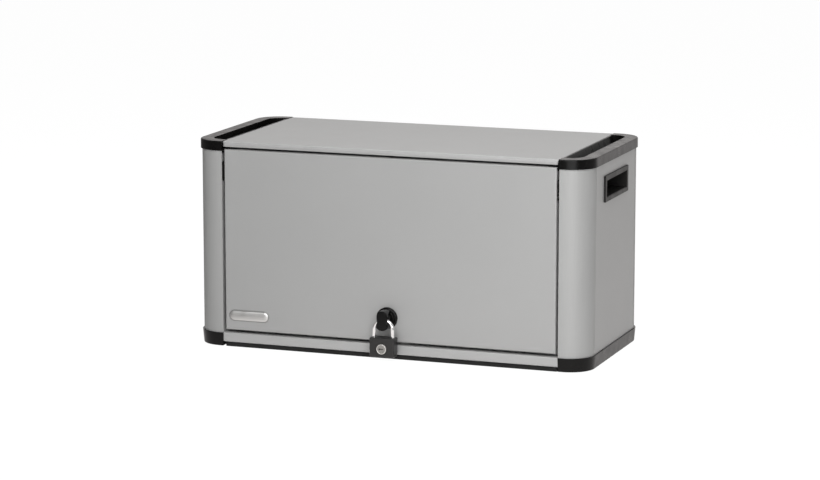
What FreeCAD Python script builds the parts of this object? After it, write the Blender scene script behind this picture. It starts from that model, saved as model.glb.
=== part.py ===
import FreeCAD, Part
import math
import os

# Desktop locker box for mobile phones: a steel cabinet with aluminium corner columns, moulded
# end caps, a top-hung front door, a padlockable turn lock and a padlock.
# Millimetres.  +X is to the right, +Y to the back and +Z up.  The origin is on the resting
# surface, under the middle of the cabinet.

Vector = FreeCAD.Vector
X_AXIS = Vector(1, 0, 0)
Y_AXIS = Vector(0, 1, 0)
Z_AXIS = Vector(0, 0, 1)

# Cabinet
BODY_W = 663.0              # over the corner columns
BODY_D = 300.0              # over the corner columns
CORNER_R = 40.0             # outside radius of the corner columns
SHEET = 1.2                 # folded steel sheet
FIT = 0.2                   # clearance between fixed pieces
FOLD_W = 12.0               # hidden folds that stiffen a sheet's edges
GROOVE_W = 1.5              # joint between a corner column and the side panel

# Heights, from the resting surface upwards
SKID_H = 8.0                # rubber frame that the box stands on
CAP_LIFT = 1.0              # underside of the bottom caps above the resting surface
BASE_CAP_H = 22.0
STRIP_H = 15.6              # front face of the base pan, below the door
STRIP_EDGE_R = 1.8
LEDGE_D = 14.0              # fold behind the strip's upper edge
PAN_SIDE_H = 31.2           # sides of the base pan
GAP_BOTTOM = 4.9            # gap under the door
DOOR_H = 295.5
GAP_TOP = 4.0
LIP_H = 8.4                 # front face of the top panel
CAP_PROUD = 0.5             # top caps above the top panel
TOP_CAP_H = 15.5            # visible side of a top cap

# Door
COLUMN_FACE_W = 47.5        # a column beside the door, seen from the front
GAP_SIDE = 4.0
DOOR_T = 18.0
DOOR_EDGE_R = 2.5
HINGE_BACK = 7.0            # hinge axis behind the door's face
HINGE_DROP = 28.0           # hinge axis below the door's top edge
DOOR_NOTCH = 17.0           # end notches of the door's top flange
LINER_SHEET = 1.0
DOOR_RAIL_W = 44.0          # stiffener inside the door
DOOR_RAIL_END = 44.0        # from its end to the door's edge

# Corner columns
COLUMN_WALL = 2.0
STOP_W = 14.0               # door stop rib at the jamb's inner edge
STOP_BELOW_HINGE = 20.0     # the rib ends this far below the hinge axis
TONGUE_L = 12.0             # tongue behind the side panel
PORT_R = 4.2                # screw ports inside the column
PORT_SUNK = 0.8             # ports reach this far into the column's wall
PORT_HOLE_R = 1.75
PORT_ANGLES = (12.0, 78.0)  # around the corner, from the side
LIP_W = 14.0                # lip of a rear column, behind the back panel

# End caps
CAP_OUT = 2.5               # caps stand this far outside the columns
CAP_WALL = 4.0
CAP_TAPER = 2.0             # bottom caps are narrower by this much at their foot
CAP_EDGE_R = 1.8
FOOT_EDGE_R = 1.1
CAP_LUG_W = 3.0             # lug of a top cap, in the gap beside the door
CAP_LUG_H = 3.2
CAP_LUG_D = 10.0
PEG_R = 1.65                # pegs of a top cap, pressed into the columns' ports
PEG_L = 8.0
RIM_W = 21.3                # rim between a trough and the cap's outer face
TROUGH_DEPTH = 22.0
TROUGH_FLOOR = 2.5
TROUGH_WALL = 2.6
TROUGH_LEAN = 6.0           # slope of the trough's wall beside the top panel, over its depth
WALL_DROP = 0.8             # that wall's top below the cap's top

# Side handles
HANDLE_L = 128.0
HANDLE_H = 42.0
HANDLE_Y = -3.5
HANDLE_DROP = 41.6          # handle's middle below the top cap
HANDLE_PROUD = 3.2
HANDLE_DEPTH = 34.0
HANDLE_WALL = 2.2
GRIP_TOP = 8.6              # bezel above the finger opening
GRIP_BOTTOM = 7.4
GRIP_SIDE = 8.0
GRIP_RISE = 6.8             # hollow behind the upper bezel, for the fingertips
BEZEL_CORNER_R = 1.5
BEZEL_EDGE_R = 0.8
MOUTH_CHAMFER = 1.2
CUP_EDGE_R = 3.0
GRIP_EDGE_R = 1.6

# Hinges
PIN_R = 3.0
PIN_CLEAR = 0.05
PIN_OUT = 7.5               # pin outside the door's edge
PIN_HEAD_R = 4.5
PIN_HEAD_H = 2.0
PIN_CHAMFER = 0.6
BLOCK_H = 32.0
BLOCK_TOP = 8.0             # block above the hinge axis
BLOCK_D = 17.5
BLOCK_GAP = 0.4             # between the block and the door's edge
BLOCK_EDGE_R = 3.0
BOSS_R = 4.8
BOSS_L = 7.0

# Turn lock
LOCK_UP = 38.5              # lock's axis above the door's lower edge
ROSETTE_R = 17.5
ROSETTE_H = 5.0
ROSETTE_EDGE_R = 2.5
BARREL_R = 9.0
BARREL_L = 25.0             # barrel behind the door's face
BARREL_FLAT = 7.5
KNOB_HEAD_W = 14.8          # between its upper corners
KNOB_HEAD_UP = 13.2         # upper corners above the lock's axis
KNOB_TOP = 15.4
KNOB_W = 17.8               # widest part above the eye
KNOB_W_UP = 4.6
KNOB_WAIST_W = 16.0         # at the eye
KNOB_WAIST_DOWN = 3.5
KNOB_TAIL_W = 19.2          # between its lower corners
KNOB_TAIL_DOWN = 11.4
KNOB_BOTTOM = 16.6
KNOB_PROUD = 26.5           # knob's front, from the door's face
KNOB_GAP = 0.4              # between the knob and the rosette
KNOB_EDGE_R = 1.2
HUB_R = 13.5                # round foot of the knob
HUB_H = 2.5
HUB_EDGE_R = 1.2
SPINDLE_R = 5.0
SPINDLE_CLEAR = 0.08
SQUARE_W = 7.0              # square end of the spindle, which drives the cam
STUD_R = 3.0                # threaded end of the spindle
NUT_AF = 24.0
NUT_H = 4.0
CAM_W = 16.0
CAM_L = 46.0                # from the lock's axis to the tip
CAM_T = 3.0
CAM_NUT_AF = 10.0
CAM_NUT_H = 5.0
STRIKE_W = 60.0
STRIKE_H = 26.0
STRIKE_T = 2.0
STRIKE_FOOT = 16.0
STRIKE_EDGE_R = 4.0
STRIKE_GAP = 1.0            # between the strike and the cam behind it

# Padlock
PADLOCK_W = 41.0
PADLOCK_H = 31.5
PADLOCK_T = 20.0
SHACKLE_RISE = 27.5         # top of the shackle's bow above the body
PADLOCK_EDGE_R = 2.2
SHACKLE_R = 3.0
SHACKLE_SPAN = 31.0         # between the legs' axes
SHACKLE_LONG = 24.0         # long leg inside the body
SHACKLE_SHORT = 6.5
SHACKLE_CLEAR = 0.1
HASP_Y = 18.0               # padlock's middle plane, before the door's face
HASP_CLEAR = 0.35
PLUG_R = 8.5
PLUG_L = 14.0
PLUG_Z = 18.0               # plug's axis below the body's top
PLUG_CLEAR = 0.08
PLUG_PROUD = 0.4
PLUG_EDGE_R = 0.7
PLUG_DISH_R = 6.8           # shallow dish in the plug's face
PLUG_DISH = 0.4
MOAT_W = 1.3                # round recess in the body, about the plug
MOAT_DEPTH = 1.2
KEYWAY_R = 1.3              # round end of the keyway
KEYWAY_REACH = 3.2          # that end and the slot's end, from the plug's axis
KEYWAY_W = 1.1
KEYWAY_END = 2.0            # metal behind the keyway

# Badge: a blank plate
BADGE_W = 69.0
BADGE_H = 18.0
BADGE_T = 1.6
BADGE_EDGE_R = 0.8
BADGE_IN = 41.7             # badge's middle from the door's left edge
BADGE_UP = 24.5             # and from the door's lower edge

# Phone rack
BAY_MIN_W = 24.0            # least clear width for one phone
RACK_SIDE_GAP = 4.0         # between the rack and the door stops
RACK_FRONT_GAP = 12.6       # between the rack and the strike
RACK_BACK_GAP = 16.0
RACK_SHEET = 1.5
RACK_LIP_H = 24.0
RACK_BACK_H = 48.0
DIVIDER_T = 2.0
TAB_H = 12.0                # divider's tabs, in slots of the rack's lip and back
TAB_UP = 6.0                # tabs above the rack's floor
DIVIDER_H = 118.0
DIVIDER_FRONT_H = 58.0
DIVIDER_R = 22.0

# Bolting-down holes in the floor
ANCHOR_R = 4.5
ANCHOR_IN_X = 111.5         # from the cabinet's side
ANCHOR_IN_Y = 65.0          # from the cabinet's front or back
ANCHOR_ACCESS_R = 10.0

# Skid frame
SKID_W = 18.0
SKID_INSET_X = 1.5
SKID_INSET_Y = 4.0
SKID_CORNER_R = 4.0

# Top panel
TOP_EDGE_R = 5.0            # rolled front edge
TOP_FOLD_R = 1.2            # tight folds at its sides and back
TOP_FLANGE_H = 24.0         # side flanges, along the troughs
STIFFENER_W = 44.0
STIFFENER_H = 12.0
STIFFENER_Y = 62.0

# Screws and small pieces
SCREW_R = 2.0
SCREW_HEAD_R = 4.0
SCREW_HEAD_H = 2.4
SCREW_CROWN_R = 2.5         # flat top of the head
SCREW_L = 14.0
SOCKET_AF = 2.5
SOCKET_DEPTH = 1.6
BACK_SCREWS = 5             # in each edge of the back panel
BUMPER_R = 5.0
BUMPER_H = 2.6
BUMPER_GAP = 0.3            # between a bumper and the door stop
BUMPER_IN = 10.0            # from the door's side
BUMPER_UP = (31.5, 191.5)   # from the door's lower edge

# Levels and half sizes that follow from these
HALF_W = BODY_W / 2
HALF_D = BODY_D / 2
FRONT = -HALF_D
HALF_OPEN = HALF_W - COLUMN_FACE_W
HALF_DOOR = HALF_OPEN - GAP_SIDE
ARC_X = HALF_W - CORNER_R
ARC_Y = HALF_D - CORNER_R
CAP_END = HALF_OPEN - FIT * 4
TOP_EDGE_X = CAP_END - FIT
TROUGH_INNER = CAP_END + TROUGH_WALL
TROUGH_END_Y = HALF_D + CAP_OUT - RIM_W
STRIP_TOP = SKID_H + STRIP_H
DOOR_BOTTOM = STRIP_TOP + GAP_BOTTOM
DOOR_TOP = DOOR_BOTTOM + DOOR_H
LIP_BOTTOM = DOOR_TOP + GAP_TOP
TOP_Z = LIP_BOTTOM + LIP_H
CAP_TOP = TOP_Z + CAP_PROUD
COLUMN_TOP = CAP_TOP - TOP_CAP_H
COLUMN_BOTTOM = CAP_LIFT + BASE_CAP_H
TROUGH_UNDER = CAP_TOP - TROUGH_DEPTH - TROUGH_FLOOR
HANDLE_Z = COLUMN_TOP - HANDLE_DROP
HINGE_Y = FRONT + HINGE_BACK
HINGE_Z = DOOR_TOP - HINGE_DROP
LOCK_Z = DOOR_BOTTOM + LOCK_UP
PADLOCK_TOP_Z = LOCK_Z - SHACKLE_RISE
BADGE_X = -HALF_DOOR + BADGE_IN
BADGE_Z = DOOR_BOTTOM + BADGE_UP
ANCHOR_X = HALF_W - ANCHOR_IN_X
ANCHOR_Y = HALF_D - ANCHOR_IN_Y
DOOR_BACK = FRONT + DOOR_T
STOP_FACE = DOOR_BACK + BUMPER_H + BUMPER_GAP
JAMB_DEPTH = STOP_FACE + COLUMN_WALL - FRONT
PADLOCK_Y = FRONT - HASP_Y
FLOOR_TOP = SKID_H + SHEET
LINER_TOP = TROUGH_UNDER - CAP_WALL
STRIKE_Y = FRONT + BARREL_L + FIT - STRIKE_GAP - STRIKE_T
RACK_FRONT = STRIKE_Y + STRIKE_FOOT + RACK_FRONT_GAP
RACK_BACK = HALF_D - SHEET - RACK_BACK_GAP
RACK_W = (HALF_OPEN - STOP_W - RACK_SIDE_GAP) * 2
RACK_BAYS = int(RACK_W / (BAY_MIN_W + DIVIDER_T))


def box(x0, x1, y0, y1, z0, z1):
    return Part.makeBox(x1 - x0, y1 - y0, z1 - z0, Vector(x0, y0, z0))


def rod(radius, length, start, direction):
    return Part.makeCylinder(radius, length, start, direction)


def prism(points, vector):
    wire = Part.makePolygon(points + points[:1])
    return Part.Face(wire).extrude(vector)


def hexagon(across_flats, height, start, direction=Y_AXIS):
    # direction is square to the X axis
    corner = across_flats / math.sqrt(3)
    across = direction.cross(X_AXIS)
    angles = [math.radians(60 * i) for i in range(6)]
    points = [start + (X_AXIS * math.cos(a) + across * math.sin(a)) * corner for a in angles]
    return prism(points, direction * height)


def mirrored_x(shape):
    return shape.mirror(Vector(0, 0, 0), X_AXIS)


def mirrored_y(shape):
    return shape.mirror(Vector(0, 0, 0), Y_AXIS)


def joined(shapes):
    return shapes[0].fuse(shapes[1:]).removeSplitter()


def rounded_edges(shape, radius, wanted):
    edges = [e for e in shape.Edges if wanted(e)]
    return shape.makeFillet(radius, edges)


def straight_along(edge, axis):
    if len(edge.Vertexes) != 2 or not isinstance(edge.Curve, Part.Line):
        return False
    ends = edge.Vertexes[1].Point - edge.Vertexes[0].Point
    return abs(ends.dot(axis)) > 0.999 * ends.Length


def at_height(edge, z):
    box_of_edge = edge.BoundBox
    return abs(box_of_edge.ZMin - z) < 1e-4 and abs(box_of_edge.ZMax - z) < 1e-4


def end_outline(inset, inner_x, z):
    # Plan outline of one end of the cabinet, moved in from the columns' outside by inset
    far_x = HALF_W - inset
    far_y = HALF_D - inset
    radius = CORNER_R - inset
    turn = radius * math.sqrt(0.5)
    front = [Vector(inner_x, -far_y, z), Vector(ARC_X, -far_y, z)]
    front_mid = Vector(ARC_X + turn, -ARC_Y - turn, z)
    side = [Vector(far_x, -ARC_Y, z), Vector(far_x, ARC_Y, z)]
    rear_mid = Vector(ARC_X + turn, ARC_Y + turn, z)
    rear = [Vector(ARC_X, far_y, z), Vector(inner_x, far_y, z)]
    edges = [
        Part.makeLine(front[0], front[1]),
        Part.Arc(front[1], front_mid, side[0]).toShape(),
        Part.makeLine(side[0], side[1]),
        Part.Arc(side[1], rear_mid, rear[0]).toShape(),
        Part.makeLine(rear[0], rear[1]),
        Part.makeLine(rear[1], front[0]),
    ]
    return Part.Wire(edges)


def end_slab(inset, inner_x, z0, z1):
    return Part.Face(end_outline(inset, inner_x, z0)).extrude(Vector(0, 0, z1 - z0))


# ---- Corner columns -------------------------------------------------------------------------

def port_centre(angle):
    reach = CORNER_R - COLUMN_WALL - PORT_R + PORT_SUNK
    turn = math.radians(angle)
    return Vector(ARC_X + reach * math.cos(turn), -ARC_Y - reach * math.sin(turn), 0)


def column_corner_wall():
    outer = end_slab(0, HALF_OPEN, COLUMN_BOTTOM, COLUMN_TOP)
    inner = end_slab(COLUMN_WALL, HALF_OPEN - 1, COLUMN_BOTTOM, COLUMN_TOP)
    corner = box(HALF_OPEN, HALF_W, FRONT, -ARC_Y, COLUMN_BOTTOM, COLUMN_TOP)
    return outer.cut(inner).common(corner)


def column_blank():
    z0, z1 = COLUMN_BOTTOM, COLUMN_TOP
    height = z1 - z0
    jamb = box(HALF_OPEN, HALF_OPEN + COLUMN_WALL, FRONT, FRONT + JAMB_DEPTH, z0, z1)
    tongue_x = HALF_W - SHEET
    tongue = box(tongue_x - COLUMN_WALL, tongue_x, -ARC_Y - COLUMN_WALL, -ARC_Y + TONGUE_L, z0, z1)
    solids = [column_corner_wall(), jamb, tongue]
    holes = []
    for angle in PORT_ANGLES:
        centre = port_centre(angle) + Vector(0, 0, z0)
        solids.append(rod(PORT_R, height, centre, Z_AXIS))
        holes.append(rod(PORT_HOLE_R, height, centre, Z_AXIS))
    column = joined(solids)
    for hole in holes:
        column = column.cut(hole)
    room_y = TROUGH_END_Y + TROUGH_WALL + FIT
    return column.cut(box(HALF_OPEN - 1, ARC_X, -room_y, -ARC_Y, TROUGH_UNDER - FIT, z1))


def column_front():
    stop = box(
        HALF_OPEN - STOP_W, HALF_OPEN + COLUMN_WALL, STOP_FACE, STOP_FACE + COLUMN_WALL,
        COLUMN_BOTTOM, HINGE_Z - STOP_BELOW_HINGE,
    )
    column = joined([column_blank(), stop])
    start = Vector(HALF_OPEN - 1, HINGE_Y, HINGE_Z)
    return column.cut(rod(BOSS_R + FIT, COLUMN_WALL + 2, start, X_AXIS))


def column_rear():
    lip = box(
        HALF_OPEN + COLUMN_WALL - LIP_W, HALF_OPEN + COLUMN_WALL,
        HALF_D - SHEET - COLUMN_WALL, HALF_D - SHEET, COLUMN_BOTTOM, COLUMN_TOP,
    )
    column = joined([mirrored_y(column_blank()), lip])
    for place in back_screw_places():
        column = column.cut(rod(SCREW_R, SCREW_L, place, -Y_AXIS))
    return column


# ---- Sheet-metal shell ----------------------------------------------------------------------

def side_panel():
    z0, z1 = COLUMN_BOTTOM, COLUMN_TOP
    face_y = ARC_Y - GROOVE_W
    fold_y = ARC_Y - TONGUE_L - FIT
    face = box(HALF_W - SHEET, HALF_W, -face_y, face_y, z0, z1)
    upper = box(HALF_W - FOLD_W, HALF_W, -fold_y, fold_y, z1 - SHEET, z1)
    lower = box(HALF_W - FOLD_W, HALF_W, -fold_y, fold_y, z0, z0 + SHEET)
    panel = joined([face, upper, lower])
    return panel.cut(handle_block(FIT, HALF_W - HANDLE_DEPTH, HALF_W + 1))


def side_liner():
    x0 = HALF_OPEN
    y0 = FRONT + JAMB_DEPTH + FIT
    y1 = HALF_D - JAMB_DEPTH - FIT
    face = box(x0, x0 + LINER_SHEET, y0, y1, COLUMN_BOTTOM + FIT, LINER_TOP)
    top_fold = box(x0, x0 + FOLD_W, y0, y1, LINER_TOP - LINER_SHEET, LINER_TOP)
    return joined([face, top_fold])


def top_panel():
    t = SHEET
    z0, z1 = LIP_BOTTOM, TOP_Z
    blank = box(-TOP_EDGE_X, TOP_EDGE_X, FRONT, HALF_D, z0, z1)
    hollow = box(-TOP_EDGE_X + t, TOP_EDGE_X - t, FRONT + t, HALF_D - t, z0, z1 - t)

    def front_edge(edge):
        return straight_along(edge, X_AXIS) and edge.BoundBox.YMax < 0 and edge.BoundBox.ZMin > z0 + t

    def other_top_edge(edge):
        return at_height(edge, z1) and not front_edge(edge)

    blank = rounded_edges(blank, TOP_FOLD_R, other_top_edge)
    blank = rounded_edges(blank, TOP_EDGE_R, front_edge)
    panel = blank.cut(rounded_edges(hollow, TOP_EDGE_R - t, front_edge))
    flange_y = TROUGH_END_Y - FOLD_W
    for x in (-TOP_EDGE_X, TOP_EDGE_X - t):
        panel = panel.fuse(box(x, x + t, -flange_y, flange_y, z1 - TOP_FLANGE_H, z0))
    return panel.removeSplitter()


def top_stiffeners():
    rails = []
    t = SHEET
    under = TOP_Z - t
    half_l = TOP_EDGE_X - t - FIT
    for y in (-STIFFENER_Y, STIFFENER_Y):
        half = STIFFENER_W / 2
        outer = box(-half_l, half_l, y - half / 2, y + half / 2, under - STIFFENER_H, under)
        inner = box(-half_l, half_l, y - half / 2 + t, y + half / 2 - t, under - STIFFENER_H + t, under)
        brim = box(-half_l, half_l, y - half, y + half, under - t, under)
        rails.append(outer.fuse(brim).cut(inner).removeSplitter())
    return Part.makeCompound(rails)


def back_panel():
    y1 = HALF_D
    half = CAP_END - FIT
    z0 = STRIP_TOP + FIT * 2
    z1 = LIP_BOTTOM - FIT * 2
    face = box(-half, half, y1 - SHEET, y1, z0, z1)
    fold_half = HALF_OPEN + COLUMN_WALL - LIP_W - FIT
    top_fold = box(-fold_half, fold_half, y1 - FOLD_W, y1, z1 - SHEET, z1)
    bottom_fold = box(-fold_half, fold_half, y1 - FOLD_W, y1, z0, z0 + SHEET)
    panel = joined([face, top_fold, bottom_fold])
    for place in back_screw_places():
        for sign in (-1, 1):
            start = Vector(sign * place.x, y1 + 1, place.z)
            panel = panel.cut(rod(SCREW_R + FIT, SHEET + 2, start, -Y_AXIS))
    return panel


def back_screw_places():
    x = HALF_OPEN + COLUMN_WALL - LIP_W / 2 - SCREW_HEAD_R
    low = COLUMN_BOTTOM + JAMB_DEPTH
    step = (COLUMN_TOP - low - JAMB_DEPTH) / (BACK_SCREWS - 1)
    return [Vector(x, HALF_D, low + step * i) for i in range(BACK_SCREWS)]


def base_pan():
    t = SHEET
    half = HALF_OPEN - FIT
    z0 = SKID_H
    floor = box(-half, half, FRONT, HALF_D, z0, z0 + t)
    strip = box(-half, half, FRONT, FRONT + t, z0, STRIP_TOP)
    ledge = box(-half, half, FRONT, FRONT + LEDGE_D, STRIP_TOP - t, STRIP_TOP)
    rear = box(-half, half, HALF_D - t, HALF_D, z0, STRIP_TOP)
    side_y0 = FRONT + JAMB_DEPTH + FIT
    side_y1 = HALF_D - t - COLUMN_WALL - FIT
    sides = [
        box(half - t, half, side_y0, side_y1, z0, z0 + PAN_SIDE_H),
        box(-half, -half + t, side_y0, side_y1, z0, z0 + PAN_SIDE_H),
    ]
    pan = joined([floor, strip, ledge, rear] + sides)

    def front_fold(edge):
        on_front = abs(edge.BoundBox.YMin - FRONT) < 1e-4 and abs(edge.BoundBox.YMax - FRONT) < 1e-4
        return on_front and straight_along(edge, X_AXIS)

    pan = rounded_edges(pan, STRIP_EDGE_R, front_fold)
    for x in (-ANCHOR_X, ANCHOR_X):
        for y in (-ANCHOR_Y, ANCHOR_Y):
            pan = pan.cut(rod(ANCHOR_R, t + 2, Vector(x, y, z0 - 1), Z_AXIS))
    return pan


def skid_frame():
    half_x = HALF_OPEN - SKID_INSET_X
    half_y = HALF_D - SKID_INSET_Y
    outer = box(-half_x, half_x, -half_y, half_y, 0, SKID_H)
    outer = rounded_edges(outer, SKID_CORNER_R, lambda e: straight_along(e, Z_AXIS))
    inner = box(-half_x + SKID_W, half_x - SKID_W, -half_y + SKID_W, half_y - SKID_W, 0, SKID_H)
    return outer.cut(inner)


# ---- End caps -------------------------------------------------------------------------------

def trough_opening(grow, z0, z1):
    # Plan of the trough: the cap's outline moved in by the rim, cut off beside the top panel
    return end_slab(RIM_W - CAP_OUT - grow, TROUGH_INNER - grow, z0, z1)


def beside_trough(grow):
    # Everything on the top panel's side of the trough's leaning wall
    slope = TROUGH_LEAN / TROUGH_DEPTH
    x0 = TOP_EDGE_X - 1
    z0, z1 = TROUGH_UNDER - 1, CAP_TOP + 1
    foot = TROUGH_INNER - grow + slope * (CAP_TOP - z0)
    head = TROUGH_INNER - grow - slope * (z1 - CAP_TOP)
    y = -HALF_D
    points = [Vector(x0, y, z0), Vector(foot, y, z0), Vector(head, y, z1), Vector(x0, y, z1)]
    return prism(points, Vector(0, BODY_D, 0))


def trough_hull():
    # Outside of the trough, open at the top
    hull = trough_opening(TROUGH_WALL, TROUGH_UNDER, CAP_TOP)
    return hull.cut(beside_trough(TROUGH_WALL))


def cap_pegs():
    # Posts under the cap's top, each with a peg for a port of a column
    pegs = []
    for centre in all_port_centres():
        foot = centre + Vector(0, 0, COLUMN_TOP + FIT)
        pegs.append(rod(PORT_R, TOP_CAP_H - CAP_WALL / 2, foot, Z_AXIS))
        pegs.append(rod(PEG_R, PEG_L + FIT, centre + Vector(0, 0, COLUMN_TOP - PEG_L), Z_AXIS))
    return pegs


def top_cap():
    collar = end_slab(-CAP_OUT, CAP_END, COLUMN_TOP, CAP_TOP)
    collar = rounded_edges(collar, CAP_EDGE_R, lambda e: at_height(e, CAP_TOP) and not (
        straight_along(e, Y_AXIS) and e.BoundBox.XMax < ARC_X
    ))
    under = end_slab(CAP_WALL - CAP_OUT, CAP_END, COLUMN_TOP, CAP_TOP - CAP_WALL)
    lug = box(
        HALF_OPEN - CAP_LUG_W, HALF_OPEN - FIT, FRONT, FRONT + CAP_LUG_D,
        COLUMN_TOP - CAP_LUG_H, COLUMN_TOP + CAP_LUG_H,
    )
    hollow = trough_opening(0, CAP_TOP - TROUGH_DEPTH, CAP_TOP + 1).cut(beside_trough(0))
    over_wall = box(
        CAP_END - 1, TROUGH_INNER + 1, -TROUGH_END_Y, TROUGH_END_Y, CAP_TOP - WALL_DROP, CAP_TOP + 1)
    cap = collar.cut(under).fuse([trough_hull(), lug] + cap_pegs()).cut([hollow, over_wall])
    return cap.removeSplitter()


def bottom_cap():
    z0, z1 = CAP_LIFT, COLUMN_BOTTOM
    inner_x = HALF_OPEN + FIT
    wall = CAP_WALL
    outer = Part.makeLoft([
        end_outline(CAP_TAPER - CAP_OUT, inner_x, z0), end_outline(-CAP_OUT, inner_x, z1),
    ], True, True)
    pocket = Part.makeLoft([
        end_outline(CAP_TAPER - CAP_OUT + wall, inner_x + wall, z0 + wall),
        end_outline(wall - CAP_OUT, inner_x + wall, z1),
    ], True, True)
    foot_edges = [e for e in outer.Edges if at_height(e, z0)]
    outer = outer.makeFillet(FOOT_EDGE_R, foot_edges)
    cap = outer.cut(pocket)
    bosses = []
    for centre in all_port_centres():
        boss = rod(PORT_R, z1 - z0 - wall / 2, centre + Vector(0, 0, z0 + wall / 2), Z_AXIS)
        bosses.append(boss)
    cap = cap.fuse(bosses)
    for centre in all_port_centres():
        cap = cap.cut(rod(SCREW_R + FIT, z1 - z0, centre + Vector(0, 0, z0), Z_AXIS))
        seat = rod(SCREW_HEAD_R + FIT, SCREW_HEAD_H + FIT, centre + Vector(0, 0, z0 - FIT), Z_AXIS)
        cap = cap.cut(seat)
    return cap.removeSplitter()


def all_port_centres():
    front = [port_centre(angle) for angle in PORT_ANGLES]
    rear = [Vector(p.x, -p.y, p.z) for p in front]
    return front + rear


# ---- Handles --------------------------------------------------------------------------------

def handle_block(grow, x0, x1):
    # The space of the cup behind the bezel
    half = HANDLE_L / 2 - GRIP_SIDE + HANDLE_WALL + grow
    z0 = HANDLE_Z - HANDLE_H / 2 + GRIP_BOTTOM - HANDLE_WALL - grow
    z1 = HANDLE_Z + HANDLE_H / 2 - GRIP_TOP + HANDLE_WALL + grow
    z1 = z1 + GRIP_RISE - HANDLE_WALL
    return box(x0, x1, HANDLE_Y - half, HANDLE_Y + half, z0, z1)


def handle_cup():
    half_l, half_h = HANDLE_L / 2, HANDLE_H / 2
    face = HALF_W
    bezel = box(
        face, face + HANDLE_PROUD, HANDLE_Y - half_l, HANDLE_Y + half_l,
        HANDLE_Z - half_h, HANDLE_Z + half_h,
    )
    bezel = rounded_edges(bezel, BEZEL_CORNER_R, lambda e: straight_along(e, X_AXIS))
    front_x = face + HANDLE_PROUD
    bezel = rounded_edges(bezel, BEZEL_EDGE_R, lambda e: abs(e.BoundBox.XMin - front_x) < 1e-4)
    cup = handle_block(0, face - HANDLE_DEPTH + HANDLE_WALL, face)
    cup = rounded_edges(cup, CUP_EDGE_R, lambda e: e.BoundBox.XMax < face - 1)
    body = bezel.fuse(cup)
    open_half = half_l - GRIP_SIDE
    z0 = HANDLE_Z - half_h + GRIP_BOTTOM
    z1 = HANDLE_Z + half_h - GRIP_TOP
    back = face - HANDLE_DEPTH + HANDLE_WALL * 2
    y0, y1 = HANDLE_Y - open_half, HANDLE_Y + open_half
    mouth = box(back, front_x + 1, y0, y1, z0, z1)
    rise = box(back, face - HANDLE_WALL, y0, y1, z0, z1 + GRIP_RISE - HANDLE_WALL)
    hollow = joined([mouth, rise])
    hollow = rounded_edges(hollow, GRIP_EDGE_R, lambda e: straight_along(e, X_AXIS)
                           and e.Length > HANDLE_PROUD + HANDLE_WALL + 1)
    cup = body.cut(hollow).removeSplitter()
    inside = open_half + FIT
    mouth_edges = [
        e for e in cup.Edges
        if abs(e.BoundBox.XMin - front_x) < 1e-4 and e.BoundBox.YMin > HANDLE_Y - inside
        and e.BoundBox.YMax < HANDLE_Y + inside
    ]
    return cup.makeChamfer(MOUTH_CHAMFER, mouth_edges)


# ---- Hinges ---------------------------------------------------------------------------------

def hinge_block():
    x0 = HALF_DOOR + BLOCK_GAP
    z1 = HINGE_Z + BLOCK_TOP
    y0 = FRONT + SHEET
    plate = box(x0, HALF_OPEN, y0, y0 + BLOCK_D, z1 - BLOCK_H, z1)
    plate = rounded_edges(plate, BLOCK_EDGE_R, lambda e: straight_along(e, X_AXIS))
    boss_x = x0 + BLOCK_GAP
    boss = rod(BOSS_R, HALF_OPEN + BOSS_L - boss_x, Vector(boss_x, HINGE_Y, HINGE_Z), X_AXIS)
    bore_start = Vector(x0 - 1, HINGE_Y, HINGE_Z)
    bore = rod(PIN_R + PIN_CLEAR, BOSS_L + GAP_SIDE + 2, bore_start, X_AXIS)
    return plate.fuse(boss).cut(bore).removeSplitter()


def hinge_pin():
    head_x = HALF_DOOR - SHEET - PIN_HEAD_H
    tip_x = HALF_DOOR + PIN_OUT
    start = Vector(head_x, HINGE_Y, HINGE_Z)
    shank = rod(PIN_R, tip_x - head_x, start, X_AXIS)
    tip_edges = [e for e in shank.Edges if e.BoundBox.XMin > tip_x - 0.1]
    shank = shank.makeChamfer(PIN_CHAMFER, tip_edges)
    head = rod(PIN_HEAD_R, PIN_HEAD_H, start, X_AXIS)
    return shank.fuse(head).removeSplitter()


# ---- Door -----------------------------------------------------------------------------------

def door_panel():
    t = SHEET
    outer = box(-HALF_DOOR, HALF_DOOR, FRONT, DOOR_BACK, DOOR_BOTTOM, DOOR_TOP)

    def front_edge(edge):
        return abs(edge.BoundBox.YMax - FRONT) < 1e-4

    outer = rounded_edges(outer, DOOR_EDGE_R, front_edge)
    inner = box(
        -HALF_DOOR + t, HALF_DOOR - t, FRONT + t, DOOR_BACK, DOOR_BOTTOM + t, DOOR_TOP - t)
    inner = rounded_edges(inner, DOOR_EDGE_R - t, lambda e: abs(e.BoundBox.YMax - FRONT - t) < 1e-4)
    door = outer.cut(inner)
    notch_x = HALF_DOOR - DOOR_NOTCH
    for side in (-1, 1):
        x0, x1 = sorted((side * notch_x, side * (HALF_DOOR + 1)))
        door = door.cut(box(x0, x1, FRONT + DOOR_EDGE_R, DOOR_BACK, DOOR_TOP - t, DOOR_TOP))
        start = Vector(side * (HALF_DOOR + 1), HINGE_Y, HINGE_Z)
        door = door.cut(rod(PIN_R + PIN_CLEAR, t + 2, start, X_AXIS * -side))
    start = Vector(0, FRONT - 1, LOCK_Z)
    return door.cut(barrel_shape(FIT, t + 2, start))


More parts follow.
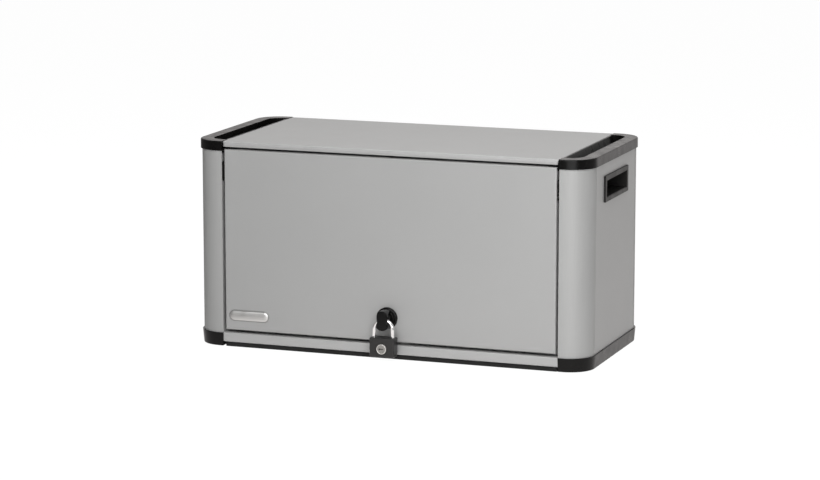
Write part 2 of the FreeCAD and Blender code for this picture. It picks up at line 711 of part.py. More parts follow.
def door_liner():
    t = LINER_SHEET
    half = HALF_DOOR - SHEET - FIT
    z0 = DOOR_BOTTOM + SHEET + FIT
    z1 = DOOR_TOP - SHEET - FIT
    face = box(-half, half, DOOR_BACK - t, DOOR_BACK, z0, z1)
    folds = [
        box(-half, half, DOOR_BACK - FOLD_W, DOOR_BACK, z0, z0 + t),
        box(-half, half, DOOR_BACK - FOLD_W, DOOR_BACK, z1 - t, z1),
    ]
    liner = joined([face] + folds)
    start = Vector(0, DOOR_BACK - t - 1, LOCK_Z)
    return liner.cut(barrel_shape(FIT, t + 2, start))


def door_stiffener():
    t = LINER_SHEET
    mid = (DOOR_BOTTOM + DOOR_TOP) / 2
    half = HALF_DOOR - DOOR_RAIL_END
    y0 = FRONT + SHEET
    y1 = DOOR_BACK - t
    half_h = DOOR_RAIL_W / 2
    web = box(-half, half, y0, y1, mid - half_h / 2, mid + half_h / 2)
    room = box(-half, half, y0, y1 - t, mid - half_h / 2 + t, mid + half_h / 2 - t)
    brim = box(-half, half, y0, y0 + t, mid - half_h, mid + half_h)
    gap = box(-half, half, y0, y0 + t, mid - half_h / 2 + t, mid + half_h / 2 - t)
    return web.cut(room).fuse(brim.cut(gap)).removeSplitter()


def badge_plate():
    r = BADGE_H / 2
    half = BADGE_W / 2 - r
    y = FRONT - BADGE_T
    middle = box(BADGE_X - half, BADGE_X + half, y, FRONT, BADGE_Z - r, BADGE_Z + r)
    ends = [rod(r, BADGE_T, Vector(BADGE_X + s * half, y, BADGE_Z), Y_AXIS) for s in (-1, 1)]
    plate = joined([middle] + ends)
    return rounded_edges(plate, BADGE_EDGE_R, lambda e: abs(e.BoundBox.YMax - y) < 1e-4)


# ---- Turn lock ------------------------------------------------------------------------------

def barrel_shape(grow, length, start):
    # Threaded barrel with two flats that keep it from turning in the door
    barrel = rod(BARREL_R + grow, length, start, Y_AXIS)
    flat = BARREL_FLAT + grow
    wide = BARREL_R + grow + 1
    slab = box(start.x - flat, start.x + flat, start.y, start.y + length, start.z - wide, start.z + wide)
    return barrel.common(slab)


def lock_housing():
    face = FRONT - ROSETTE_H
    rosette = rod(ROSETTE_R, ROSETTE_H, Vector(0, face, LOCK_Z), Y_AXIS)
    rosette = rounded_edges(rosette, ROSETTE_EDGE_R, lambda e: abs(e.BoundBox.YMax - face) < 1e-4)
    barrel = barrel_shape(0, BARREL_L, Vector(0, FRONT, LOCK_Z))
    bore = rod(SPINDLE_R + SPINDLE_CLEAR, BARREL_L + ROSETTE_H + 2, Vector(0, face - 1, LOCK_Z), Y_AXIS)
    return rosette.fuse(barrel).cut(bore).removeSplitter()


def lock_nut():
    start = Vector(0, DOOR_BACK, LOCK_Z)
    nut = hexagon(NUT_AF, NUT_H, start)
    return nut.cut(rod(BARREL_R + FIT / 2, NUT_H + 2, start - Y_AXIS, Y_AXIS))


def knob_outline(y):
    # Round-topped head, a waist at the eye and a flared tail
    def at(x, up):
        return Vector(x, y, LOCK_Z + up)

    def flank(side):
        head = at(side * KNOB_HEAD_W / 2, KNOB_HEAD_UP)
        wide = at(side * KNOB_W / 2, KNOB_W_UP)
        waist = at(side * KNOB_WAIST_W / 2, -KNOB_WAIST_DOWN)
        tail = at(side * KNOB_TAIL_W / 2, -KNOB_TAIL_DOWN)
        return [Part.Arc(head, wide, waist).toShape(), Part.makeLine(waist, tail)], head, tail

    left, head_left, tail_left = flank(-1)
    right, head_right, tail_right = flank(1)
    head_arc = Part.Arc(head_left, at(0, KNOB_TOP), head_right).toShape()
    tail_arc = Part.Arc(tail_right, at(0, -KNOB_BOTTOM), tail_left).toShape()
    edges = Part.sortEdges([head_arc] + right + [tail_arc] + left)[0]
    return Part.Face(Part.Wire(edges))


def eye_radius(x):
    # The eye follows the inside of the shackle's bow, so it widens away from the middle
    bow = SHACKLE_SPAN / 2
    inside = bow - SHACKLE_R - HASP_CLEAR
    return bow - math.sqrt(inside * inside - x * x)


def hasp_eye():
    # Bell-mouthed cross hole for the padlock's shackle
    end_x = KNOB_TAIL_W / 2
    mid_x = end_x / 2
    centre = Vector(0, PADLOCK_Y, LOCK_Z)
    halves = []
    for side in (-1, 1):
        arc = Part.Arc(
            centre + Vector(0, 0, eye_radius(0)),
            centre + Vector(side * mid_x, 0, eye_radius(mid_x)),
            centre + Vector(side * end_x, 0, eye_radius(end_x)),
        ).toShape()
        end = centre + Vector(side * end_x, 0, 0)
        wire = Part.Wire([
            arc,
            Part.makeLine(arc.Vertexes[1].Point, end),
            Part.makeLine(end, centre),
            Part.makeLine(centre, arc.Vertexes[0].Point),
        ])
        halves.append(Part.Face(wire).revolve(centre, X_AXIS, 360))
    return halves[0].fuse(halves[1:])


def spindle_square(grow, y0, y1):
    half = SQUARE_W / 2 + grow
    return box(-half, half, y0, y1, LOCK_Z - half, LOCK_Z + half)


def hasp_knob():
    y0 = FRONT - KNOB_PROUD
    y1 = FRONT - ROSETTE_H - KNOB_GAP
    tongue = knob_outline(y0).extrude(Vector(0, y1 - y0, 0))
    tongue = rounded_edges(tongue, KNOB_EDGE_R, lambda e: abs(e.BoundBox.YMax - y0) < 1e-4)
    tongue = tongue.cut(hasp_eye())
    hub = rod(HUB_R, HUB_H, Vector(0, y1 - HUB_H, LOCK_Z), Y_AXIS)
    hub = rounded_edges(hub, HUB_EDGE_R, lambda e: abs(e.BoundBox.YMax - y1 + HUB_H) < 1e-4)
    cam_y = FRONT + BARREL_L + FIT
    nut_y = cam_y + CAM_T + FIT
    spindle = rod(SPINDLE_R, cam_y - y1, Vector(0, y1, LOCK_Z), Y_AXIS)
    square = spindle_square(0, cam_y, nut_y - FIT)
    stud = rod(STUD_R, nut_y + CAM_NUT_H - cam_y + 1, Vector(0, cam_y, LOCK_Z), Y_AXIS)
    return joined([tongue, hub, spindle, square, stud])


def lock_cam():
    y = FRONT + BARREL_L + FIT
    r = CAM_W / 2
    hub = rod(r, CAM_T, Vector(0, y, LOCK_Z), Y_AXIS)
    tip = rod(r, CAM_T, Vector(CAM_L - r, y, LOCK_Z), Y_AXIS)
    arm = box(0, CAM_L - r, y, y + CAM_T, LOCK_Z - r, LOCK_Z + r)
    cam = joined([hub, arm, tip])
    return cam.cut(spindle_square(FIT / 2, y - 1, y + CAM_T + 1))


def cam_nut():
    y = FRONT + BARREL_L + FIT + CAM_T + FIT
    nut = hexagon(CAM_NUT_AF, CAM_NUT_H, Vector(0, y, LOCK_Z))
    return nut.cut(rod(STUD_R + FIT / 2, CAM_NUT_H + 2, Vector(0, y - 1, LOCK_Z), Y_AXIS))


def lock_strike():
    t = STRIKE_T
    half = STRIKE_W / 2
    foot = box(-half, half, STRIKE_Y, STRIKE_Y + STRIKE_FOOT, FLOOR_TOP, FLOOR_TOP + t)
    plate = box(-half, half, STRIKE_Y, STRIKE_Y + t, FLOOR_TOP, FLOOR_TOP + STRIKE_H)
    strike = joined([foot, plate])
    return rounded_edges(strike, STRIKE_EDGE_R, lambda e: straight_along(e, Y_AXIS)
                         and e.BoundBox.ZMin > FLOOR_TOP + t + 1)


# ---- Padlock --------------------------------------------------------------------------------

def shackle_bottom(side):
    depth = SHACKLE_LONG if side < 0 else SHACKLE_SHORT
    return PADLOCK_TOP_Z - depth


def padlock_shackle():
    radius = SHACKLE_SPAN / 2
    bow_z = LOCK_Z - radius
    left, right = -radius, radius
    start = Vector(left, PADLOCK_Y, shackle_bottom(-1))
    bow_left = Vector(left, PADLOCK_Y, bow_z)
    bow_top = Vector(0, PADLOCK_Y, LOCK_Z)
    bow_right = Vector(right, PADLOCK_Y, bow_z)
    legs = [
        rod(SHACKLE_R, bow_z - start.z, start, Z_AXIS),
        rod(SHACKLE_R, bow_z - shackle_bottom(1), Vector(right, PADLOCK_Y, shackle_bottom(1)), Z_AXIS),
    ]
    path = Part.Wire([Part.Arc(bow_left, bow_top, bow_right).toShape()])
    ring = Part.Wire([Part.makeCircle(SHACKLE_R, bow_left, Z_AXIS)])
    bow = path.makePipeShell([ring], True, False)
    return joined([legs[0], bow, legs[1]])


def padlock_body():
    half_w, half_t = PADLOCK_W / 2, PADLOCK_T / 2
    z1 = PADLOCK_TOP_Z
    z0 = z1 - PADLOCK_H
    body = box(
        -half_w, half_w, PADLOCK_Y - half_t, PADLOCK_Y + half_t, z0, z1)
    body = rounded_edges(body, PADLOCK_EDGE_R, lambda e: True)
    for side in (-1, 1):
        x = side * SHACKLE_SPAN / 2
        z = shackle_bottom(side) - SHACKLE_CLEAR
        start = Vector(x, PADLOCK_Y, z)
        body = body.cut(rod(SHACKLE_R + SHACKLE_CLEAR, z1 - z + 1, start, Z_AXIS))
    face = PADLOCK_Y - half_t
    start = Vector(0, face - 1, PADLOCK_TOP_Z - PLUG_Z)
    bore = rod(PLUG_R + PLUG_CLEAR, PLUG_L + 1 + PLUG_CLEAR, start, Y_AXIS)
    return body.cut([bore, rod(PLUG_R + MOAT_W, MOAT_DEPTH + 1, start, Y_AXIS)])


def padlock_plug():
    face = PADLOCK_Y - PADLOCK_T / 2 - PLUG_PROUD
    axis_z = PADLOCK_TOP_Z - PLUG_Z
    plug = rod(PLUG_R, PLUG_L + PLUG_PROUD, Vector(0, face, axis_z), Y_AXIS)
    plug = rounded_edges(plug, PLUG_EDGE_R, lambda e: abs(e.BoundBox.YMax - face) < 1e-4)
    dish = rod(PLUG_DISH_R, PLUG_DISH + 1, Vector(0, face - 1, axis_z), Y_AXIS)
    length = PLUG_PROUD + PLUG_L - KEYWAY_END + 1
    round_end = rod(KEYWAY_R, length, Vector(-KEYWAY_REACH, face - 1, axis_z), Y_AXIS)
    half = KEYWAY_W / 2
    slot = box(-KEYWAY_REACH, KEYWAY_REACH, face - 1, face - 1 + length, axis_z - half, axis_z + half)
    return plug.cut([dish, round_end, slot])


# ---- Phone rack -----------------------------------------------------------------------------

def divider_places():
    # Left faces of the dividers
    pitch = RACK_W / RACK_BAYS
    start = -RACK_W / 2 - DIVIDER_T / 2
    return [start + pitch * i for i in range(1, RACK_BAYS)]


def rack_tray():
    t = RACK_SHEET
    half = RACK_W / 2
    z0 = FLOOR_TOP
    floor = box(-half, half, RACK_FRONT, RACK_BACK, z0, z0 + t)
    lip = box(-half, half, RACK_FRONT, RACK_FRONT + t, z0, z0 + RACK_LIP_H)
    back = box(-half, half, RACK_BACK - t, RACK_BACK, z0, z0 + RACK_BACK_H)
    holes = []
    for x in (-ANCHOR_X, ANCHOR_X):
        for y in (-ANCHOR_Y, ANCHOR_Y):
            holes.append(rod(ANCHOR_ACCESS_R, t + 2, Vector(x, y, z0 - 1), Z_AXIS))
    slot_z = z0 + t + TAB_UP - FIT
    for x in divider_places():
        slot = (x - FIT, x + DIVIDER_T + FIT)
        slot_top = slot_z + TAB_H + FIT * 2
        holes.append(box(*slot, RACK_FRONT - 1, RACK_FRONT + t + 1, slot_z, slot_top))
        holes.append(box(*slot, RACK_BACK - t - 1, RACK_BACK + 1, slot_z, slot_top))
    return joined([floor, lip, back]).cut(holes)


def divider(x):
    t = RACK_SHEET
    front, back = RACK_FRONT + t + FIT, RACK_BACK - t - FIT
    z0 = FLOOR_TOP + t
    low, high = z0 + DIVIDER_FRONT_H, z0 + DIVIDER_H
    slope_end = front + (high - low)
    points = [
        Vector(x, front, z0), Vector(x, back, z0), Vector(x, back, high),
        Vector(x, slope_end, high), Vector(x, front, low),
    ]
    plate = prism(points, Vector(DIVIDER_T, 0, 0))

    def upper_corner(edge):
        return straight_along(edge, X_AXIS) and edge.BoundBox.ZMin > z0 + 1

    plate = rounded_edges(plate, DIVIDER_R, upper_corner)
    tab_z = z0 + TAB_UP
    tabs = box(x, x + DIVIDER_T, RACK_FRONT, RACK_BACK, tab_z, tab_z + TAB_H)
    return joined([plate, tabs])


def rack_dividers():
    return Part.makeCompound([divider(x) for x in divider_places()])


# ---- Screws, bumpers -------------------------------------------------------------------------

def screw(place, direction):
    # place is the seat of the head; direction points into the material
    head = Part.makeCone(SCREW_HEAD_R, SCREW_CROWN_R, SCREW_HEAD_H, place, -direction)
    shank = rod(SCREW_R - FIT, SCREW_L, place, direction)
    socket = hexagon(SOCKET_AF, SOCKET_DEPTH, place - direction * SCREW_HEAD_H, direction)
    return head.fuse(shank).cut(socket).removeSplitter()


def back_screws():
    screws = []
    for place in back_screw_places():
        for sign in (-1, 1):
            screws.append(screw(Vector(sign * place.x, HALF_D, place.z), -Y_AXIS))
    return Part.makeCompound(screws)


def base_screws():
    screws = []
    for centre in all_port_centres():
        for sign in (-1, 1):
            seat = Vector(sign * centre.x, centre.y, CAP_LIFT + SCREW_HEAD_H)
            screws.append(screw(seat, Z_AXIS))
    return Part.makeCompound(screws)


def door_bumpers():
    y = DOOR_BACK
    bumpers = []
    for up in BUMPER_UP:
        for sign in (-1, 1):
            start = Vector(sign * (HALF_DOOR - BUMPER_IN), y, DOOR_BOTTOM + up)
            bumpers.append(rod(BUMPER_R, BUMPER_H, start, Y_AXIS))
    return Part.makeCompound(bumpers)


def save(name, shape):
    if not shape.isValid():
        print("invalid", name)
    shape.exportStep("parts/" + name + ".step")


def save_pair(name, right_shape):
    save(name + "_right", right_shape)
    save(name + "_left", mirrored_x(right_shape))


def main():
    os.makedirs("parts", exist_ok=True)
    save_pair("column_front", column_front())
    save_pair("column_rear", column_rear())
    save_pair("side_panel", side_panel())
    save_pair("side_liner", side_liner())
    save_pair("top_cap", top_cap())
    save_pair("bottom_cap", bottom_cap())
    save_pair("handle_cup", handle_cup())
    save_pair("hinge_block", hinge_block())
    save_pair("hinge_pin", hinge_pin())
    save("top_panel", top_panel())
    save("top_stiffeners", top_stiffeners())
    save("back_panel", back_panel())
    save("base_pan", base_pan())
    save("skid_frame", skid_frame())
    save("door_panel", door_panel())
    save("door_liner", door_liner())
    save("door_stiffener", door_stiffener())
    save("door_bumpers", door_bumpers())
    save("badge_plate", badge_plate())
    save("lock_housing", lock_housing())
    save("lock_nut", lock_nut())
    save("hasp_knob", hasp_knob())
    save("lock_cam", lock_cam())
    save("cam_nut", cam_nut())
    save("lock_strike", lock_strike())
    save("padlock_shackle", padlock_shackle())
    save("padlock_body", padlock_body())
    save("padlock_plug", padlock_plug())
    save("rack_tray", rack_tray())
    save("rack_dividers", rack_dividers())
    save("back_screws", back_screws())
    save("base_screws", base_screws())


main()
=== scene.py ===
import math

import bpy
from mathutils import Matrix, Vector


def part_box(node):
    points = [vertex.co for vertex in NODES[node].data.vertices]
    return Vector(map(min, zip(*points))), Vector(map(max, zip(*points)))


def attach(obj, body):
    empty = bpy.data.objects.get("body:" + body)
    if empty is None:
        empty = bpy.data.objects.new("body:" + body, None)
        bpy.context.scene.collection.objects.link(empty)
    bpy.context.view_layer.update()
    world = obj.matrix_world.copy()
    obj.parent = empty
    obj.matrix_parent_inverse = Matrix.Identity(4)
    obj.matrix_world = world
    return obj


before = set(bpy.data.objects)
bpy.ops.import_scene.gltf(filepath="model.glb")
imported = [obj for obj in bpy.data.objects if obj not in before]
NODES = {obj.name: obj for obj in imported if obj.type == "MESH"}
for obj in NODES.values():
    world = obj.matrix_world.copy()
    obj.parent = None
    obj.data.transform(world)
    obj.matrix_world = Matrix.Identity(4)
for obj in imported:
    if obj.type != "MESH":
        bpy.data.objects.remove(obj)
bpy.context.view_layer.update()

# Looks of a desktop locker box for mobile phones. Metres, in the same frame as the solids:
# the box stands on z = 0, its front faces -Y and its width runs along X.

RIGHTWARDS = (1.0, 0.0, 0.0)
FRONTWARDS = (0.0, -1.0, 0.0)
BACKWARDS = (0.0, 1.0, 0.0)
UPWARDS = (0.0, 0.0, 1.0)
QUARTER_TURN = math.radians(90)

# ---- Numbers of the camera and the lamps ----------------------------------------------------

CAMERA_PLACE = Vector((1.68233, -4.65316, 1.05810))
CAMERA_YAW = math.radians(20.056)
CAMERA_PITCH = math.radians(-10.204)
CAMERA_LENS_MM = 135.45
CAMERA_SENSOR_MM = 36.0
CAMERA_REACH = 50.0

# Each lamp's name, place, width and height, and watts; they are all aimed at one point
SOFTBOXES = (
    ("key_softbox", (0.56, -2.10, 1.55), (2.2, 0.8), 50.0),
    ("top_softbox", (0.0, 0.62, 2.4), (2.2, 1.6), 38.5),
    ("low_softbox", (0.7, -1.5, 0.3), (1.0, 0.4), 5.8),
    ("side_softbox", (1.9, 0.3, 0.9), (1.0, 1.0), 3.4),
)
LAMPS_AIM = Vector((0.0, 0.0, 0.16))

# ---- Numbers of the surroundings ------------------------------------------------------------

WHITE = (1.0, 1.0, 1.0)
WARM_WHITE = (1.0, 0.965, 0.95)
WORLD_LIGHT = 0.05
FLOOR_SIZE = 14.0
FLOOR_COLOUR = (0.88, 0.88, 0.88)
FLOOR_SHADED = (0.06, 0.06, 0.06)
FLOOR_GLOW = 0.98
# How bright the surroundings look in gloss: a start, an end, and the level at each. Those of
# the world go by the slope of a direction, and those of the floor by metres.
WORLD_BEHIND = (0.78, 0.92, 0.30, 1.0)
WORLD_RISING = (0.30, 0.60, 1.0, 0.5)
FLOOR_BEHIND = (-1.4, -0.45, 0.15, 0.95)
FLOOR_RIGHT = (0.45, 0.80, 1.0, 0.3)
FLOOR_LEFT = (0.35, 0.70, 1.0, 0.2)
FRONT_RIGHTWARDS = (1.0, -0.6, 0.0)
FRONT_LEFTWARDS = (-1.0, -0.6, 0.0)

# ---- Numbers of the finishes ----------------------------------------------------------------

# The part of a noise's values that is in use
NOISE_LOW = 0.3
NOISE_HIGH = 0.7
# How a grain is stretched: the frequency along each axis
EVEN = (1.0, 1.0, 1.0)
BRUSHED_ALONG_X = (0.02, 1.0, 1.0)
DRAWN_ALONG_Z = (1.0, 1.0, 0.01)
CAP_LOOK = {
    "colour": (0.0042, 0.0040, 0.0038), "roughness": 0.29,
    "grain": 1400.0, "depth": 0.00001, "specular": 0.2,
}
# The leaning wall inside each top cap's trough, with painted light: its ends across and along
# the cap, measured from the middle of the box, and over how much of the distance's square
# the painted light fades
TROUGH_WALL_X = 0.2935
TROUGH_END_Y = 0.112
TROUGH_FADE_X = 0.0003
TROUGH_FADE_Y = 0.0004
# Painted light: the wall's colour, paler than the black moulding, stands in for the light it
# catches
TROUGH_PAINTED_LIGHT = (0.065, 0.065, 0.064)
TROUGH_SPECULAR = 0.02
# Painted shade in the keyway: how deep it goes before it is painted dark, and how light it is
# there
KEYWAY_SHADE_DEPTH = 0.0005
KEYWAY_SHADE_LEVEL = 0.03

# ---- Numbers of the pieces ------------------------------------------------------------------

# How well a face or an edge has to keep to a direction, as the cosine of the angle between
FACE_KEEPS_TO = 0.9
EDGE_KEEPS_TO = 0.99
SMOOTH_ANGLE = math.radians(35)
EDGE_SEGMENTS = 2
MERGE_DISTANCE = 0.00001

# Steps are insets: how far each goes in, and how far it rises
# The badge's crown, whose ends are rounded over most of its half height
BADGE_RIM = 0.0013
BADGE_SINK = 0.0002
CROWN_FOOT = 0.0002
CROWN_ROUNDING = 0.96
CROWN_SEGMENTS = 9
CROWN_STEPS = ((0.0009, 0.00055), (0.0013, 0.00045), (0.0018, 0.00035), (0.0026, 0.00022))
CROWN_EDGE = 0.00012
# The ring about the dish of the padlock's plug
RING_R = 0.0078
RING_W = 0.0010
RING_T = 0.0006
RING_SINK = 0.0001
RING_SIDES = 64
RING_EDGE = 0.00012
# The rivets through the foot of the strike
RIVET_X = 0.020
RIVET_R = 0.0034
RIVET_H = 0.0006
RIVET_IN = 0.0065
RIVET_SIDES = 32
RIVET_STEPS = ((0.0006, 0.0005), (0.0010, 0.0003), (0.0010, 0.0001))
RIVET_EDGE = 0.00015
STRIKE_FOOT_T = 0.002
# The pads in the phone bays
BAYS = 20
RACK_SHEET = 0.0015
PAD_W = 0.0222
PAD_T = 0.0012
PAD_IN = 0.004
PAD_CORNER = 0.003
PAD_CORNER_SEGMENTS = 5
PAD_STEPS = ((0.0016, 0.0), (0.0005, -0.0005))
PAD_EDGE = 0.0002


# ---- Node tools -----------------------------------------------------------------------------

def coloured(tree, kind, colour):
    # A shader node of one colour
    node = tree.nodes.new(kind)
    node.inputs["Color"].default_value = (*colour, 1.0)
    return node


def ranged(tree, source, start, end, low, high):
    # Values from low, where the source is at start, to high, where it is at end
    node = tree.nodes.new("ShaderNodeMapRange")
    node.inputs["From Min"].default_value = start
    node.inputs["From Max"].default_value = end
    node.inputs["To Min"].default_value = low
    node.inputs["To Max"].default_value = high
    tree.links.new(source, node.inputs["Value"])
    return node.outputs["Result"]


def product(tree, first, second):
    node = tree.nodes.new("ShaderNodeMath")
    node.operation = "MULTIPLY"
    tree.links.new(first, node.inputs[0])
    tree.links.new(second, node.inputs[1])
    return node.outputs["Value"]


def along(tree, place, direction):
    # How far a place, or a direction, lies along another direction
    node = tree.nodes.new("ShaderNodeVectorMath")
    node.operation = "DOT_PRODUCT"
    node.inputs[1].default_value = direction
    tree.links.new(place, node.inputs[0])
    return node.outputs["Value"]


def by_ray(tree, seen, mirrored, lighting):
    # One shader for what the camera sees, one for gloss and glass, and one that lights the rest
    ray = tree.nodes.new("ShaderNodeLightPath")
    gloss = tree.nodes.new("ShaderNodeMath")
    gloss.operation = "ADD"
    gloss.use_clamp = True
    for_gloss = tree.nodes.new("ShaderNodeMixShader")
    for_camera = tree.nodes.new("ShaderNodeMixShader")
    link = tree.links.new
    link(ray.outputs["Is Glossy Ray"], gloss.inputs[0])
    link(ray.outputs["Is Transmission Ray"], gloss.inputs[1])
    link(gloss.outputs["Value"], for_gloss.inputs["Fac"])
    link(lighting, for_gloss.inputs[1])
    link(mirrored, for_gloss.inputs[2])
    link(ray.outputs["Is Camera Ray"], for_camera.inputs["Fac"])
    link(for_gloss.outputs["Shader"], for_camera.inputs[1])
    link(seen, for_camera.inputs[2])
    return for_camera.outputs["Shader"]


# ---- Camera, lamps and surroundings ---------------------------------------------------------

def add_camera():
    bpy.ops.object.camera_add(location=CAMERA_PLACE)
    camera = bpy.context.object
    camera.name = "camera"
    camera.rotation_euler = (QUARTER_TURN + CAMERA_PITCH, 0.0, CAMERA_YAW)
    camera.data.lens = CAMERA_LENS_MM
    camera.data.sensor_width = CAMERA_SENSOR_MM
    camera.data.clip_end = CAMERA_REACH
    bpy.context.scene.camera = camera


def add_softbox(name, place, size, watts):
    bpy.ops.object.light_add(type="AREA", location=place)
    lamp = bpy.context.object
    lamp.name = name
    lamp.data.shape = "RECTANGLE"
    lamp.data.size, lamp.data.size_y = size
    lamp.data.energy = watts
    lamp.rotation_euler = (LAMPS_AIM - Vector(place)).to_track_quat("-Z", "Y").to_euler()


def add_world():
    # White, in gloss too where it lies behind the object; it gives little light of its own
    world = bpy.data.worlds.new("studio")
    bpy.context.scene.world = world
    world.use_nodes = True
    tree = world.node_tree
    tree.nodes.clear()
    output = tree.nodes.new("ShaderNodeOutputWorld")
    seen = coloured(tree, "ShaderNodeBackground", WHITE)
    mirrored = coloured(tree, "ShaderNodeBackground", WARM_WHITE)
    lighting = coloured(tree, "ShaderNodeBackground", WHITE)
    lighting.inputs["Strength"].default_value = WORLD_LIGHT
    direction = tree.nodes.new("ShaderNodeTexCoord").outputs["Generated"]
    behind = ranged(tree, along(tree, direction, BACKWARDS), *WORLD_BEHIND)
    rising = ranged(tree, along(tree, direction, UPWARDS), *WORLD_RISING)
    tree.links.new(product(tree, behind, rising), mirrored.inputs["Strength"])
    shader = by_ray(
        tree, seen.outputs["Background"], mirrored.outputs["Background"],
        lighting.outputs["Background"],
    )
    tree.links.new(shader, output.inputs["Surface"])


def add_floor():
    # A pale table: seen white with a faint shadow, and darker in gloss far in front and beside
    bpy.ops.mesh.primitive_plane_add(size=FLOOR_SIZE)
    floor = bpy.context.object
    floor.name = "floor"
    material = bpy.data.materials.new("pale_floor")
    material.use_nodes = True
    tree = material.node_tree
    tree.nodes.clear()
    output = tree.nodes.new("ShaderNodeOutputMaterial")
    lighting = coloured(tree, "ShaderNodeBsdfDiffuse", FLOOR_COLOUR)
    shaded = coloured(tree, "ShaderNodeBsdfDiffuse", FLOOR_SHADED)
    glow = coloured(tree, "ShaderNodeEmission", WHITE)
    glow.inputs["Strength"].default_value = FLOOR_GLOW
    seen = tree.nodes.new("ShaderNodeAddShader")
    tree.links.new(shaded.outputs["BSDF"], seen.inputs[0])
    tree.links.new(glow.outputs["Emission"], seen.inputs[1])
    mirrored = coloured(tree, "ShaderNodeEmission", WARM_WHITE)
    place = tree.nodes.new("ShaderNodeTexCoord").outputs["Object"]
    behind = ranged(tree, along(tree, place, BACKWARDS), *FLOOR_BEHIND)
    right = ranged(tree, along(tree, place, FRONT_RIGHTWARDS), *FLOOR_RIGHT)
    left = ranged(tree, along(tree, place, FRONT_LEFTWARDS), *FLOOR_LEFT)
    level = product(tree, behind, product(tree, right, left))
    tree.links.new(level, mirrored.inputs["Strength"])
    shader = by_ray(
        tree, seen.outputs["Shader"], mirrored.outputs["Emission"], lighting.outputs["BSDF"])
    tree.links.new(shader, output.inputs["Surface"])
    floor.data.materials.append(material)


# ---- Material tools -------------------------------------------------------------------------

def new_finish(name, metallic, roughness, specular=0.5):
    material = bpy.data.materials.new(name)
    material.use_nodes = True
    tree = material.node_tree
    tree.nodes.clear()
    output = tree.nodes.new("ShaderNodeOutputMaterial")
    shader = tree.nodes.new("ShaderNodeBsdfPrincipled")
    shader.inputs["Metallic"].default_value = metallic
    shader.inputs["Roughness"].default_value = roughness
    shader.inputs["Specular IOR Level"].default_value = specular
    tree.links.new(shader.outputs["BSDF"], output.inputs["Surface"])
    return material, shader


def noise(material, scale, detail, stretch=EVEN):
    # Noise on the piece's own coordinates
    tree = material.node_tree
    place = tree.nodes.new("ShaderNodeTexCoord")
    mapping = tree.nodes.new("ShaderNodeMapping")
    mapping.inputs["Scale"].default_value = stretch
    texture = tree.nodes.new("ShaderNodeTexNoise")
    texture.inputs["Scale"].default_value = scale
    texture.inputs["Detail"].default_value = detail
    tree.links.new(place.outputs["Object"], mapping.inputs["Vector"])
    tree.links.new(mapping.outputs["Vector"], texture.inputs["Vector"])
    return texture.outputs["Fac"]


def spread(material, source, low, high):
    # Turns a noise into values from low to high
    return ranged(material.node_tree, source, NOISE_LOW, NOISE_HIGH, low, high)


def tinted(material, shader, colour, amount):
    # The colour times an amount that varies over the surface and may pass 1
    tree = material.node_tree
    node = tree.nodes.new("ShaderNodeMix")
    node.data_type = "RGBA"
    node.blend_type = "MIX"
    node.inputs["A"].default_value = (0.0, 0.0, 0.0, 1.0)
    node.inputs["B"].default_value = (*colour, 1.0)
    node.clamp_factor = False
    tree.links.new(amount, node.inputs["Factor"])
    tree.links.new(node.outputs["Result"], shader.inputs["Base Color"])


def bumped(material, shader, source, depth):
    tree = material.node_tree
    node = tree.nodes.new("ShaderNodeBump")
    node.inputs["Distance"].default_value = depth
    node.inputs["Strength"].default_value = 1.0
    tree.links.new(source, node.inputs["Height"])
    tree.links.new(node.outputs["Normal"], shader.inputs["Normal"])


def roughened(material, shader, source, low, high):
    # Lets the roughness follow a noise
    rough = spread(material, source, low, high)
    material.node_tree.links.new(rough, shader.inputs["Roughness"])


# ---- Finishes -------------------------------------------------------------------------------

def silver_paint(name, colour, roughness):
    # Metallic powder coat: fine flakes, a slight orange peel and faint clouds
    material, shader = new_finish(name, metallic=0.20, roughness=roughness)
    flakes = spread(material, noise(material, scale=2600.0, detail=1.0), low=0.90, high=1.10)
    clouds = spread(material, noise(material, scale=7.0, detail=3.0), low=0.99, high=1.01)
    tinted(material, shader, colour, product(material.node_tree, flakes, clouds))
    bumped(material, shader, noise(material, scale=420.0, detail=2.0), depth=0.00004)
    smears = noise(material, scale=30.0, detail=4.0)
    roughened(material, shader, smears, low=roughness - 0.012, high=roughness + 0.012)
    return material


def satin_column(name, colour):
    # Anodised extrusion: fine drawing lines along Z
    material, shader = new_finish(name, metallic=0.22, roughness=0.58)
    drawn = noise(material, scale=2200.0, detail=2.0, stretch=DRAWN_ALONG_Z)
    lines = spread(material, drawn, low=0.975, high=1.025)
    clouds = spread(material, noise(material, scale=9.0, detail=2.0), low=0.985, high=1.015)
    tinted(material, shader, colour, product(material.node_tree, lines, clouds))
    bumped(material, shader, drawn, depth=0.000008)
    return material


def moulded_black(name, colour, roughness, grain, depth, specular=0.3):
    # A dark moulding or enamel with a fine grain, unevenly worn
    material, shader = new_finish(name, metallic=0.0, roughness=roughness, specular=specular)
    leather = noise(material, scale=grain, detail=3.0)
    tone = spread(material, noise(material, scale=16.0, detail=3.0), low=0.85, high=1.2)
    tinted(material, shader, colour, tone)
    bumped(material, shader, leather, depth)
    worn = noise(material, scale=45.0, detail=4.0)
    roughened(material, shader, worn, low=roughness - 0.05, high=roughness + 0.07)
    return material


def fading(tree, distance, end, fade):
    # 1 up to the end on either side of the middle, and 0 after the fade
    square = product(tree, distance, distance)
    return ranged(tree, square, end ** 2, end ** 2 + fade, 1.0, 0.0)


